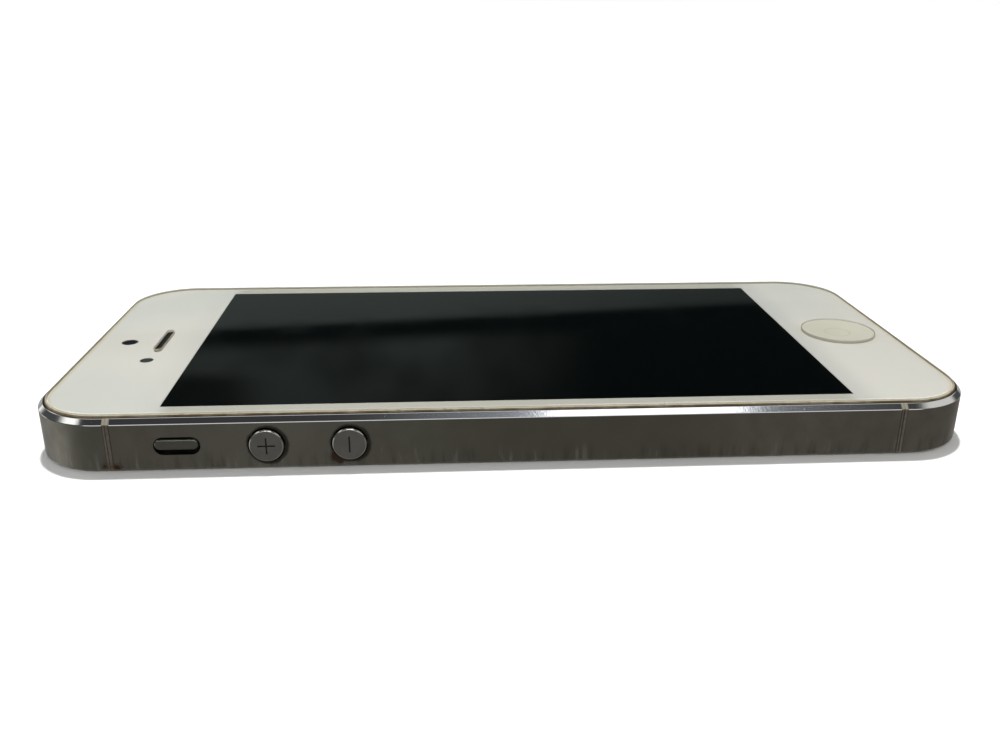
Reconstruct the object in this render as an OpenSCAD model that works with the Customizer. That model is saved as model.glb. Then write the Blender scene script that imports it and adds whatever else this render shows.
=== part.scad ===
// Slim smartphone: an aluminium body with a glass front, a round home button and two round volume buttons.
// The origin is the centre of the flat back. +Z points out of the screen, +X towards the home button end
// and -Y towards the side with the volume buttons. All sizes are in millimetres.

/* [Body] */
// Length from the earpiece end to the home button end
body_l = 123.8; // [123.4:0.1:124.4]
// Width from side to side, without the buttons
body_w = 58.6; // [58.4:0.1:59.2]
// Height from the back to the top of the cover glass
body_h = 7.6; // [7.55:0.05:7.7]
// Corner radius in plan
corner_r = 9.85; // [9.7:0.05:10]
// Height of the aluminium rim above the back
rim_h = 7.07; // [7.04:0.01:7.1]
// Bevel along the front edge of the rim
front_bevel = 0.64; // [0.5:0.02:0.66]
// Bevel along the back edge
back_bevel = 0.44; // [0.3:0.02:0.6]
// Thickness of the side walls
wall = 1.6; // [1.5:0.05:1.6]
// Width of each plastic antenna break
break_w = 0.9; // [0.8:0.05:1]

/* [Front] */
// Half length of the visible screen
screen_half_l = 45.2; // [44.8:0.1:45.4]
// Half width of the visible screen
screen_half_w = 25.35; // [25:0.05:25.8]
// Distance from the centre of the phone to the centre of the home button
home_x = 53.1; // [52.8:0.1:53.2]
// Radius of the home button
home_r = 5.4; // [5.2:0.05:5.45]
// Distance from the centre of the phone to the earpiece slot
earpiece_x = 51; // [50.8:0.1:51.1]
// Length of the earpiece slot
earpiece_l = 8.8; // [8.4:0.2:9.6]

/* [Side controls] */
// Height of the side controls above the back
side_z = 3.35; // [3.3:0.05:3.4]
// Radius of the volume button caps
volume_r = 2.18; // [2.1:0.02:2.3]
// Travel of the volume, power and home buttons
press = 0.3; // [0.2:0.05:0.3]
// Travel of the mute switch
mute_travel = 0.6; // [0.5:0.05:0.6]
// How far the side controls stand out of the wall
proud = 0.4; // [0.3:0.05:0.5]

/* [Sockets] */
// Bore radius of the headphone socket
jack_r = 1.78; // [1.76:0.01:1.8]
// Depth of the headphone socket
jack_depth = 14; // [14:0.5:14.5]
// Width of the dock port opening
dock_w = 7.4; // [7:0.1:8]
// Radius of the pin hole in the tray for the card
pin_r = 0.45; // [0.4:0.05:0.5]

/* [Hidden] */

round_fn = 96;
tiny_fn = 32;
half_l = body_l / 2;
half_w = body_w / 2;
over = 1; // how far a cutter runs past the face it cuts

// Levels above the back
floor_z = 0.9;
rear_glass_z = 0.63;
seat_z = 0.65;
insulator_z = 1.05;
ledge_z = 6.2;
bezel_z = 6.24;
shelf_z = 7.08;
ink_z = 7.1;
glass_z = 7.15;
sensor_z = 7.06; // top of the parts that stand behind the holes in the ink
board_z = [1.4, 2.2];

// Distances in from the outer wall
edge_break = 0.05; // how far each edge of the front bevel is broken
bevel_foot = rim_h - front_bevel;
rim_inner = front_bevel + 0.1;
bezel_outer = rim_inner + 0.08;
bezel_lip = bezel_outer + 0.26;
glass_inset = bezel_lip + 0.02;
bezel_inner = 2.4;
cavity = wall + 0.12;
rear_glass_inset = 1.2;

// The antenna breaks
break_top = [-half_l + 10.55, -half_l + 10.55 + break_w];
break_bottom = [half_l - 10.9 - break_w, half_l - 10.9];

// The wall sections, as points [distance in from the outer wall, height above the back]
wall_top = [[0, back_bevel], [0, bevel_foot - edge_break],
    [edge_break * sin(45), bevel_foot + edge_break * sin(45)],
    [front_bevel - edge_break * sin(45), rim_h - edge_break * sin(45)],
    [front_bevel + edge_break, rim_h], [rim_inner, rim_h], [rim_inner, ledge_z], [wall, ledge_z]];
wall_section = concat([[wall, 0], [back_bevel, 0]], wall_top);
band_section = concat([[rear_glass_inset - 0.02, 0], [back_bevel, 0]], wall_top,
    [[wall, seat_z], [rear_glass_inset - 0.02, seat_z]]);
bezel_section = [[bezel_outer, bezel_z], [bezel_outer, rim_h + 0.07], [bezel_lip - 0.03, body_h - 0.2],
    [bezel_lip, body_h - 0.2], [bezel_lip, shelf_z], [bezel_inner, shelf_z], [bezel_inner, bezel_z]];

// Front details
home_hole_r = home_r + 0.15;
home_top = body_h - 0.18;
dish_r = home_r - 0.3;
dish_depth = 0.35;
dish_ball = (dish_r * dish_r + dish_depth * dish_depth) / (2 * dish_depth);
earpiece_w = 1.15;
camera_hole = [-half_l + 5.8, 0];
camera_hole_r = 1.2;
sensor_hole = [-half_l + 10.4, -8];
sensor_hole_r = 0.95;

// Side controls
volume_up_x = -31.45;
volume_down_x = -21.1;
volume_hole_r = volume_r + 0.18;
mute_x = -42.5;
mute_slot = [5.8, 2.4];
mute_toggle = [5.4, 1.4];
mute_slot_z = side_z + 0.1;
mute_z = mute_slot_z + mute_travel / 2;
power_y = 14.5;
power_cap = [10.4, 2.4];
button_gap = 0.1;
wing_t = 0.4;
wing_gap = 0.05;
stem_h = 0.3;
dome_gap = 0.05;
dome_t = 0.3;
button_fillet = 0.25;
mark_w = 0.2;
mark_depth = 0.1;
plus_size = 2.2;

// The tray for the card
sim_x = -5;
sim_face = [16.4, 1.9];
sim_gap = 0.1;
sim_body_x = [-11.5, -0.5];
sim_end_y = 14.5;
sim_z = [2.75, 3.95];
sim_floor = 0.23;
card = [8.8, 12.3, 0.67];
rod_x_pos = 1.6;
rod_r = 0.5;
rod_end_y = 13.25;
lever_pivot = [-3, 12.2];
lever_z = [3, 3.7];
lever_half = 0.9;
pivot_r = 0.5;
pivot_gap = 0.05;

// Rear camera, microphone and flash, as [x, y] on the back
camera_at = [-54.2, 20.7];
rear_mic_at = [-54.2, 15.6];
flash_at = [-54.2, 12.6];
ring_r = 3.55;
ring_hole_r = 2.92;
barrel_r = 2.35;
flash_r = 1.3;
mic_hole_r = 0.5;

// Inside
motor_at = [-54.5, 2.95];
jack_y = -19;
dock_z = side_z;
dock_opening_h = 2.2;
screw_y = 7.4;
grille_r = 0.3;
grille_pitch = 1.05;
standoffs = [[-45.5, 11], [-45.5, 25.6], [8, 25.6], [42, 11], [42, 25.6]];

// Basic shapes. A range is [low, high], and a place is given in the two directions across the axis.
module block(x, y, z) {
    translate([x[0], y[0], z[0]]) cube([x[1] - x[0], y[1] - y[0], z[1] - z[0]]);
}

module rod_x(r, x, at, fn = round_fn) {
    translate([x[0], at[0], at[1]]) rotate([0, 90, 0]) cylinder(r = r, h = x[1] - x[0], $fn = fn);
}

module rod_y(r, y, at, fn = round_fn) {
    translate([at[0], y[0], at[1]]) rotate([-90, 0, 0]) cylinder(r = r, h = y[1] - y[0], $fn = fn);
}

module rod_z(r, z, at, fn = round_fn) {
    translate([at[0], at[1], z[0]]) cylinder(r = r, h = z[1] - z[0], $fn = fn);
}

module pill(size) {
    r = size[1] / 2;
    square([size[0] - size[1], size[1]], center = true);
    for (side = [-1, 1]) translate([side * (size[0] / 2 - r), 0]) circle(r = r, $fn = round_fn);
}

module pill_x(size, x, at) {
    translate([x[0], at[0], at[1]]) rotate([90, 0, 90]) linear_extrude(x[1] - x[0]) pill(size);
}

module pill_y(size, y, at) {
    translate([at[0], y[1], at[1]]) rotate([90, 0, 0]) linear_extrude(y[1] - y[0]) pill(size);
}

// A rectangle with round corners, standing on the range z
module rounded_block(x, y, z, r) {
    mid = [(x[0] + x[1]) / 2, (y[0] + y[1]) / 2, z[0]];
    size = [x[1] - x[0], y[1] - y[0]];
    translate(mid) linear_extrude(z[1] - z[0]) {
        square([size[0], size[1] - 2 * r], center = true);
        square([size[0] - 2 * r, size[1]], center = true);
        for (sx = [-1, 1], sy = [-1, 1])
            translate([sx * (size[0] / 2 - r), sy * (size[1] / 2 - r)]) circle(r = r, $fn = round_fn);
    }
}

// Half the section of a button cap, with its top corner rounded
module cap_section(r, height, fillet) {
    square([r, height - fillet]);
    square([r - fillet, height]);
    translate([r - fillet, height - fillet]) circle(r = fillet, $fn = round_fn);
}

// A button cap standing on z = 0, with round ends and a rounded top edge
module cap(size, height, fillet) {
    r = size[1] / 2;
    reach = size[0] / 2 - r;
    for (side = reach > 0 ? [-1, 1] : [0]) translate([side * reach, 0, 0])
        rotate_extrude($fn = round_fn) cap_section(r, height, fillet);
    if (reach > 0) rotate([90, 0, 90]) linear_extrude(2 * reach, center = true) {
        cap_section(r, height, fillet);
        mirror([1, 0]) cap_section(r, height, fillet);
    }
}

// The plan outline of the phone, a distance in from the outer wall
module outline(inset) {
    x = half_l - corner_r;
    y = half_w - corner_r;
    r = corner_r - inset;
    square([2 * (x + r), 2 * y], center = true);
    square([2 * x, 2 * (y + r)], center = true);
    for (sx = [-1, 1], sy = [-1, 1]) translate([sx * x, sy * y]) circle(r = r, $fn = round_fn);
}

module plate(inset, z) {
    translate([0, 0, z[0]]) linear_extrude(z[1] - z[0]) outline(inset);
}

// A section carried once around the outline
module edge_sweep(section) {
    x = half_l - corner_r;
    y = half_w - corner_r;
    for (turn = [0, 180]) rotate([0, 0, turn]) {
        rotate([90, 0, 90]) linear_extrude(2 * x, center = true)
            polygon([for (p = section) [half_w - p[0], p[1]]]);
        rotate([90, 0, 0]) linear_extrude(2 * y, center = true)
            polygon([for (p = section) [half_l - p[0], p[1]]]);
    }
    for (quarter = [0:3]) translate([(quarter % 3 == 0 ? 1 : -1) * x, (quarter < 2 ? 1 : -1) * y, 0])
        rotate([0, 0, 90 * quarter]) rotate_extrude(angle = 90, $fn = round_fn)
            polygon([for (p = section) [corner_r - p[0], p[1]]]);
}

// Everything between two planes across the phone
module slab(x) {
    block(x, [-half_w - over, half_w + over], [-over, body_h + over]);
}

// What fits inside the walls
module inside_walls() {
    intersection() {
        plate(cavity, [0, ledge_z]);
        union() children();
    }
}

// Body shells
module rear_housing() {
    outer = [half_w - wall - over, half_w + over];
    color([0.33, 0.33, 0.30]) difference() {
        union() {
            intersection() {
                union() {
                    edge_sweep(wall_section);
                    plate(wall - 0.1, [0, floor_z]);
                }
                slab([break_top[1], break_bottom[0]]);
            }
            for (at = standoffs) rod_z(1.3, [floor_z - 0.1, board_z[0]], at);
        }
        for (at = standoffs) rod_z(0.5, [0.6, board_z[0] + over], at);
        for (x = [volume_up_x, volume_down_x]) rod_y(volume_hole_r, [-outer[1], -outer[0]], [x, side_z]);
        pill_y(mute_slot, [-outer[1], -outer[0]], [mute_x, mute_slot_z]);
        pill_y([sim_face[0] + 2 * sim_gap, sim_face[1] + 2 * sim_gap], outer, [sim_x, side_z]);
    }
}

module top_band() {
    color([0.40, 0.40, 0.38]) difference() {
        intersection() {
            edge_sweep(band_section);
            slab([-half_l - over, break_top[0]]);
        }
        pill_x([power_cap[0] + 2 * button_gap, power_cap[1] + 2 * button_gap],
            [-half_l - over, -half_l + wall + over], [power_y, side_z]);
    }
}

module grille(rows, columns, y0, x) {
    for (row = [0:rows - 1], column = [0:columns - 1])
        rod_x(grille_r, x, [y0 + column * grille_pitch, side_z + (row - (rows - 1) / 2) * grille_pitch],
            tiny_fn);
}

module bottom_band() {
    through = [half_l - wall - over, half_l + over];
    color([0.40, 0.40, 0.38]) difference() {
        intersection() {
            edge_sweep(band_section);
            slab([break_bottom[1], half_l + over]);
        }
        rod_x(2.65, through, [jack_y, side_z]);
        pill_x([dock_w, dock_opening_h], through, [0, dock_z]);
        for (side = [-1, 1]) rod_x(0.95, through, [side * screw_y, side_z]);
        grille(2, 13, 9.4, through);
        grille(2, 5, -13.8, through);
    }
}

module insulator(breaks, under) {
    intersection() {
        edge_sweep(band_section);
        slab(breaks);
    }
    intersection() {
        plate(wall + 0.02, [seat_z, insulator_z]);
        slab(under);
    }
    intersection() {
        plate(wall - 0.05, [seat_z, insulator_z]);
        slab(breaks);
    }
}

module top_insulator() {
    color([0.80, 0.80, 0.76]) difference() {
        insulator(break_top, [-half_l, break_top[1]]);
        rod_z(ring_hole_r, [0, 2], camera_at);
        rod_z(1, [0, 2], flash_at);
        rod_z(mic_hole_r, [0, 2], rear_mic_at);
    }
}

module bottom_insulator() {
    color([0.80, 0.80, 0.76]) insulator(break_bottom, [break_bottom[0], half_l]);
}

module rear_glass(range_x) {
    intersection() {
        plate(rear_glass_inset, [0, rear_glass_z]);
        slab(range_x);
    }
}

module rear_glass_top() {
    color([0.92, 0.92, 0.90]) difference() {
        rear_glass([-half_l, break_top[1] - 0.02]);
        rod_z(ring_r + 0.02, [-over, over], camera_at);
        rod_z(flash_r + 0.02, [-over, over], flash_at);
        rod_z(mic_hole_r, [-over, over], rear_mic_at);
    }
}

module rear_glass_bottom() {
    color([0.92, 0.92, 0.90]) rear_glass([break_bottom[0] + 0.02, half_l]);
}

// Display
module display_bezel() {
    color([0.80, 0.78, 0.68]) edge_sweep(bezel_section);
}

module earpiece_slot(clearance, z) {
    at = [-earpiece_x, 0, z[0]];
    translate(at) linear_extrude(z[1] - z[0]) rotate(90)
        pill([earpiece_l - 2 * clearance, earpiece_w - 2 * clearance]);
}

module cover_glass() {
    bevel = 0.12;
    section = [[glass_inset, glass_z], [glass_inset, body_h - bevel], [glass_inset + bevel, body_h],
        [glass_inset + 1, body_h], [glass_inset + 1, glass_z]];
    color([0.85, 0.88, 0.85, 0.5]) difference() {
        union() {
            edge_sweep(section);
            plate(glass_inset + 0.9, [glass_z, body_h]);
        }
        rod_z(home_hole_r, [glass_z - over, body_h + over], [home_x, 0]);
        earpiece_slot(0, [glass_z - over, body_h + over]);
    }
}

module ink_border() {
    color([0.90, 0.90, 0.87]) difference() {
        plate(glass_inset + 0.02, [ink_z, glass_z]);
        block([-screen_half_l, screen_half_l], [-screen_half_w, screen_half_w], [0, body_h]);
        rod_z(home_hole_r, [0, body_h], [home_x, 0]);
        earpiece_slot(0, [0, body_h]);
        rod_z(camera_hole_r, [0, body_h], camera_hole);
        rod_z(sensor_hole_r, [0, body_h], sensor_hole);
    }
}

module screen_layer(border, z) {
    block([-screen_half_l - border, screen_half_l + border],
        [-screen_half_w - border / 2, screen_half_w + border / 2], z);
}

module lcd_panel() {
    color([0.03, 0.04, 0.04]) screen_layer(1.2, [6.3, ink_z]);
}

module backlight() {
    color([0.85, 0.87, 0.90]) screen_layer(1.2, [5.4, 6.25]);
}

module display_shield_plate() {
    color([0.55, 0.56, 0.58]) screen_layer(1.4, [5.17, 5.35]);
}

module home_button() {
    mid = [home_x, 0];
    color([0.90, 0.89, 0.84]) difference() {
        union() {
            rod_z(home_r, [6.4, home_top], mid);
            rod_z(6.1, [6.45, 6.8], mid);
            rod_z(1.2, [6.18, 6.5], mid);
        }
        translate([home_x, 0, home_top - dish_depth + dish_ball]) sphere(r = dish_ball, $fn = 200);
    }
}

module home_button_gasket() {
    color([0.12, 0.12, 0.12]) difference() {
        rod_z(6.2, [5.32, 6.08], [home_x, 0]);
        rod_z(5.2, [5, 7], [home_x, 0]);
    }
}

module home_button_bracket() {
    tab = [half_l - wall - 0.55, half_l - wall - 0.15];
    color([0.62, 0.62, 0.60]) {
        block([48.2, tab[1]], [-8.2, 8.2], [5, 5.3]);
        for (side = [-1, 1])
            translate([0, side * 6.5, 0]) block(tab, [-1.5, 1.5], [5.2, ledge_z]);
    }
}

module home_button_switch() {
    color([0.75, 0.72, 0.55]) {
        rod_z(2.4, [5.3, 5.6], [home_x, 0]);
        rod_z(1.9, [5.6, 5.72], [home_x, 0]);
        rod_z(1.3, [5.72, 5.84], [home_x, 0]);
    }
}

module earpiece_mesh() {
    hole_r = 0.16;
    pitch = 0.48;
    columns = 10;
    color([0.10, 0.10, 0.10]) difference() {
        earpiece_slot(0.05, [ink_z, body_h - 0.32]);
        for (column = [-columns:columns], row = [-0.5, 0.5])
            rod_z(hole_r, [ink_z - over, body_h], [-earpiece_x + row * pitch, column * pitch], 16);
    }
}

module earpiece_speaker() {
    color([0.16, 0.16, 0.17]) rounded_block([-53, -48.3], [-6.5, 6.5], [4.8, sensor_z], 0.8);
}

module front_camera() {
    color([0.05, 0.05, 0.06]) difference() {
        union() {
            block([camera_hole[0] - 2.5, camera_hole[0] + 2.5], [-2.5, 2.5], [4.2, 6.1]);
            rod_z(1.6, [6, sensor_z], camera_hole);
        }
        rod_z(0.9, [sensor_z - 0.2, body_h], camera_hole);
    }
}

module light_sensor() {
    color([0.08, 0.08, 0.10])
        block([sensor_hole[0] - 1.3, sensor_hole[0] + 1.3], [sensor_hole[1] - 1.3, sensor_hole[1] + 1.3],
            [5.8, sensor_z]);
}

// Side controls. The wall's inner face is at y = -half_w + wall.
inner_y = -half_w + wall;
wing_y = [inner_y + wing_gap, inner_y + wing_gap + wing_t];
stem_y = [wing_y[1], wing_y[1] + stem_h];
dome_y = [stem_y[1] + press + dome_gap, stem_y[1] + press + dome_gap + dome_t];

module volume_button(x) {
    translate([x, wing_y[0] + 0.1, side_z]) rotate([90, 0, 0])
        cap([2 * volume_r, 2 * volume_r], wing_y[0] + 0.1 + half_w + proud, button_fillet);
    block([x - 3.3, x + 3.3], wing_y, [side_z - 2.1, side_z + 2.1]);
    rod_y(0.9, [wing_y[1] - 0.1, stem_y[1]], [x, side_z]);
}

module mark_stroke(x, length, width) {
    face_y = -half_w - proud;
    block([x - length / 2, x + length / 2], [face_y - over, face_y + mark_depth],
        [side_z - width / 2, side_z + width / 2]);
}

module volume_up_button() {
    color([0.28, 0.28, 0.26]) difference() {
        volume_button(volume_up_x);
        mark_stroke(volume_up_x, plus_size, mark_w);
        mark_stroke(volume_up_x, mark_w, plus_size);
    }
}

module volume_down_button() {
    color([0.28, 0.28, 0.26]) difference() {
        volume_button(volume_down_x);
        mark_stroke(volume_down_x, mark_w, plus_size);
    }
}

module volume_switches() {
    color([0.78, 0.74, 0.60]) for (x = [volume_up_x, volume_down_x]) {
        rod_y(1.2, dome_y, [x, side_z]);
        block([x - 2, x + 2], [dome_y[1], dome_y[1] + 0.3], [side_z - 1.5, side_z + 1.4]);
    }
}

module volume_bracket() {
    y = [dome_y[1] + 0.3, dome_y[1] + 0.7];
    color([0.60, 0.60, 0.58]) {
        block([volume_up_x - 3.5, volume_down_x + 3.5], y, [floor_z, side_z + 1.45]);
        block([volume_up_x + 3.6, volume_down_x - 3.6], [inner_y, y[0] + 0.1], [floor_z, side_z - 0.9]);
    }
}

module mute_switch() {
    plate_y = [inner_y + wing_gap, inner_y + wing_gap + 0.3];
    color([0.50, 0.50, 0.48]) {
        translate([mute_x, plate_y[0] + 0.1, mute_z]) rotate([90, 0, 0])
            cap(mute_toggle, plate_y[0] + 0.1 + half_w + proud - 0.05, 0.2);
        block([mute_x - 3.5, mute_x + 3.5], plate_y, [mute_slot_z - 1.35, mute_slot_z + 1.5 + mute_travel]);
    }
}

module mute_switch_body() {
    color([0.15, 0.15, 0.16])
        block([mute_x - 3.6, mute_x + 3.6], [inner_y + wing_gap + 0.35, inner_y + 2.6], [floor_z, 4.85]);
}

inner_x = -half_l + wall;
power_wing_x = [inner_x + wing_gap, inner_x + wing_gap + wing_t];
power_stem_x = [power_wing_x[1], power_wing_x[1] + stem_h];
power_dome_x = [power_stem_x[1] + press + dome_gap, power_stem_x[1] + press + dome_gap + 0.25];

module power_button() {
    color([0.42, 0.42, 0.40]) {
        translate([power_wing_x[0] + 0.1, power_y, side_z]) rotate([0, -90, 0]) rotate([0, 0, 90])
            cap(power_cap, power_wing_x[0] + 0.1 + half_l + proud - 0.05, button_fillet);
        block(power_wing_x, [power_y - 6.3, power_y + 5.6], [side_z - 1.8, side_z + 1.8]);
        rod_x(0.9, [power_wing_x[1] - 0.1, power_stem_x[1]], [power_y, side_z]);
    }
}

module power_button_switch() {
    color([0.78, 0.74, 0.60]) {
        rod_x(1.1, power_dome_x, [power_y, side_z]);
        block([power_dome_x[1], -58.5], [power_y - 2.2, power_y + 2.2], [insulator_z, side_z + 1.3]);
    }
}

// Card tray, its reader and the way it is pushed out
module sim_tray() {
    face_y = [half_w - wall + 0.2, half_w];
    pocket_x = sim_x - 1;
    color([0.42, 0.42, 0.40]) difference() {
        union() {
            pill_y(sim_face, face_y, [sim_x, side_z]);
            block(sim_body_x, [sim_end_y, face_y[0] + 0.1], sim_z);
        }
        block([pocket_x - card[0] / 2 - 0.1, pocket_x + card[0] / 2 + 0.1],
            [sim_end_y + 0.5, sim_end_y + 0.7 + card[1]], [sim_z[0] + sim_floor, sim_z[1] + over]);
        block([pocket_x - 3, pocket_x + 3], [sim_end_y + 2, sim_end_y + 10], [sim_z[0] - over, side_z]);
        rod_y(pin_r, [face_y[0] - over, half_w + over], [rod_x_pos, side_z]);
    }
}

module sim_card() {
    x = sim_x - 1;
    z = sim_z[0] + sim_floor + 0.01;
    color([0.88, 0.88, 0.86])
        rounded_block([x - card[0] / 2, x + card[0] / 2], [sim_end_y + 0.6, sim_end_y + 0.6 + card[1]],
            [z, z + card[2]], 0.5);
}

module sim_reader() {
    shell = 0.25;
    side_gap = 0.12;
    x = [sim_body_x[0] - side_gap, sim_body_x[1] + side_gap];
    z = [sim_z[0] - side_gap, sim_z[1] + side_gap];
    y = [sim_end_y - 0.3, half_w - wall - 0.2];
    color([0.70, 0.70, 0.68]) difference() {
        union() {
            block([x[0] - shell, x[1] + shell], y, [board_z[1], z[1] + shell]);
            block([x[0] - shell, 2.7], [10.9, y[1]], [board_z[1], 2.45]);
            rod_z(pivot_r, [2.4, 4.1], lever_pivot);
            rod_z(0.9, [3.8, 4.1], lever_pivot);
            block([0, 2.7], [15.5, 19], [2.4, side_z + rod_r + 0.4]);
        }
        block(x, [y[0] - over, y[1] + over], z);
        rod_y(rod_r + pivot_gap, [15, 20], [rod_x_pos, side_z]);
    }
}

module sim_eject_rod() {
    color([0.66, 0.66, 0.64]) rod_y(rod_r, [rod_end_y, half_w - wall - 0.1], [rod_x_pos, side_z]);
}

module sim_eject_lever() {
    color([0.66, 0.66, 0.64]) difference() {
        union() {
            block([-9, 2.6], [lever_pivot[1] - lever_half, lever_pivot[1] + lever_half], lever_z);
            rod_z(1.3, lever_z, lever_pivot);
        }
        rod_z(pivot_r + pivot_gap, [2, 5], lever_pivot);
    }
}

// Rear camera and flash
module camera_ring() {
    color([0.60, 0.60, 0.58]) difference() {
        rod_z(ring_r, [0, rear_glass_z], camera_at);
        rod_z(ring_hole_r, [-over, over], camera_at);
    }
}

module camera_cover_lens() {
    color([0.20, 0.22, 0.25]) rod_z(ring_hole_r - 0.02, [0.05, rear_glass_z], camera_at);
}

module camera_body() {
    color([0.10, 0.10, 0.11]) inside_walls() difference() {
        translate([camera_at[0], camera_at[1], 0]) block([-4.25, 4.25], [-4.25, 4.25], [1.07, 5.9]);
        rod_z(barrel_r + 0.07, [0, 4.6], camera_at);
    }
}

module camera_lens_barrel() {
    color([0.05, 0.05, 0.06]) difference() {
        rod_z(barrel_r, [1.5, 4.2], camera_at);
        rod_z(1.5, [1, 1.9], camera_at);
        rod_z(0.9, [1, 2.3], camera_at);
    }
}

module flash_lens() {
    color([0.90, 0.88, 0.70]) rod_z(flash_r, [0.03, rear_glass_z], flash_at);
}

module flash_module() {
    color([0.90, 0.90, 0.60]) translate([flash_at[0], flash_at[1], 0])
        block([-1.8, 1.8], [-1.8, 1.6], [1.07, 2.4]);
}

// Power and electronics
battery_y = [-24.3, 8.2];

module battery() {
    color([0.13, 0.13, 0.14]) rounded_block([-46, 45], battery_y, [floor_z + 0.05, 4.65], 1.2);
}

module battery_flex() {
    color([0.55, 0.35, 0.15]) {
        block([-19, -13.6], [battery_y[1], 12], [board_z[1] + 0.05, board_z[1] + 0.2]);
        block([-18.4, -14.2], [12, 14.6], [board_z[1], board_z[1] + 1]);
    }
}

module logic_board() {
    color([0.05, 0.16, 0.12]) difference() {
        block([-47.5, 44], [9.3, 27.2], board_z);
        for (at = standoffs) rod_z(0.7, [0, 4], at);
    }
}

// A thin metal lid, open towards the board
module can(x, y, top) {
    shell = 0.2;
    difference() {
        block(x, y, [board_z[1], top]);
        block([x[0] + shell, x[1] - shell], [y[0] + shell, y[1] - shell], [board_z[1] - over, top - shell]);
    }
}

module shield_cans() {
    color([0.72, 0.72, 0.70]) {
        can([-43.5, -20], [10.2, 26.6], 3.7);
        can([5.5, 39.5], [10.2, 24.2], 3.7);
    }
}

module processor() {
    color([0.07, 0.07, 0.07]) block([-38, -24], [12, 25], [board_z[1], 3.2]);
}

module board_chips() {
    color([0.07, 0.07, 0.07]) for (chip = [[7, 15, 11.5], [17.5, 24.5, 11], [27, 37, 13]])
        block([chip[0], chip[1]], [12, 12 + chip[2] * 0.9], [board_z[1], 3.1]);
}

module display_connector_cover() {
    color([0.66, 0.66, 0.64]) block([-35, -21], [12, 24], [3.72, 3.95]);
}

module display_flex() {
    color([0.55, 0.35, 0.15]) for (x = [-34, -29.5, -25]) {
        block([x, x + 3], [22.5, 24], [3.95, 4.15]);
        block([x, x + 3], [23.8, 24], [4.05, 5.15]);
    }
}

module vibration_motor() {
    color([0.72, 0.72, 0.70]) difference() {
        union() {
            rod_y(1.75, [-20, -12], motor_at);
            block([motor_at[0] - 2, motor_at[0] + 2], [-19, -13], [insulator_z, motor_at[1]]);
        }
        rod_y(0.45, [-21, -16], motor_at);
    }
}

module vibration_weight() {
    color([0.45, 0.44, 0.42]) {
        intersection() {
            rod_y(1.7, [-25, -20.6], motor_at);
            block([motor_at[0] - 2, motor_at[0] + 2], [-26, -20], [motor_at[1] - 2, motor_at[1] + 0.45]);
        }
        rod_y(0.7, [-25, -20.6], motor_at);
        rod_y(0.4, [-20.7, -16.5], motor_at);
    }
}

module wifi_antenna() {
    color([0.55, 0.35, 0.15]) {
        block([-59, -50], [-9.5, 3], [1.07, 1.25]);
        block([-58, -55], [-9.5, -6], [1.2, 2.2]);
    }
}

// Bottom end
module dock_connector() {
    mouth = half_l - wall - 0.05;
    color([0.10, 0.10, 0.10]) difference() {
        block([52, mouth], [-5.5, 5.5], [1.9, 4.8]);
        block([53.5, mouth + over], [-3.45, 3.45], [dock_z - 0.85, dock_z + 0.85]);
    }
}

module dock_flex() {
    color([0.55, 0.35, 0.15]) {
        block([45.3, 51.9], [-4, 4], [1.1, 1.3]);
        block([45.3, 47.3], [3.9, 15], [1.1, 1.3]);
        block([44.1, 45.4], [12.6, 15], [1.1, 1.3]);
    }
}

module headphone_jack() {
    mouth = half_l - 0.05;
    color([0.12, 0.12, 0.13]) difference() {
        union() {
            inside_walls() block([mouth - jack_depth - 0.8, half_l], [jack_y - 3, jack_y + 3], [1.1, 5.6]);
            rod_x(2.25, [half_l - wall - 1, mouth], [jack_y, side_z]);
            rod_x(2.6, [half_l - wall + 0.02, mouth], [jack_y, side_z]);
        }
        rod_x(jack_r, [mouth - jack_depth, half_l + over], [jack_y, side_z]);
    }
}

module loudspeaker() {
    color([0.14, 0.14, 0.15]) inside_walls() difference() {
        block([47.5, half_l - wall - 0.6], [8.7, half_w], [1.1, 4.8]);
        rod_z(3, [4.4, 6], [53.5, 17]);
    }
}

module speaker_mesh() {
    color([0.06, 0.06, 0.06])
        inside_walls() block([half_l - wall - 0.5, half_l], [8.9, 22.5], [side_z - 1.2, side_z + 1.2]);
}

module microphones() {
    color([0.70, 0.66, 0.45]) {
        block([57.2, half_l - wall - 0.15], [-14.4, -9], [side_z - 1.3, side_z + 1.3]);
        translate([rear_mic_at[0], rear_mic_at[1], 0]) block([-1.5, 1.5], [-1.2, 0.7], [1.07, 2.2]);
    }
}

// Fasteners
module bottom_screws() {
    color([0.45, 0.45, 0.44]) for (side = [-1, 1]) difference() {
        union() {
            rod_x(0.9, [half_l - 0.75, half_l - 0.12], [side * screw_y, side_z]);
            rod_x(0.45, [58.3, half_l - 0.7], [side * screw_y, side_z]);
        }
        rod_x(0.42, [half_l - 0.45, half_l + over], [side * screw_y, side_z], 6);
    }
}

module board_screws() {
    color([0.60, 0.60, 0.60]) for (at = standoffs) difference() {
        union() {
            rod_z(1.1, [board_z[1], board_z[1] + 0.45], at);
            rod_z(0.48, [0.65, board_z[1] + 0.1], at);
        }
        rod_z(0.5, [board_z[1] + 0.2, 4], at, 6);
    }
}

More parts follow.
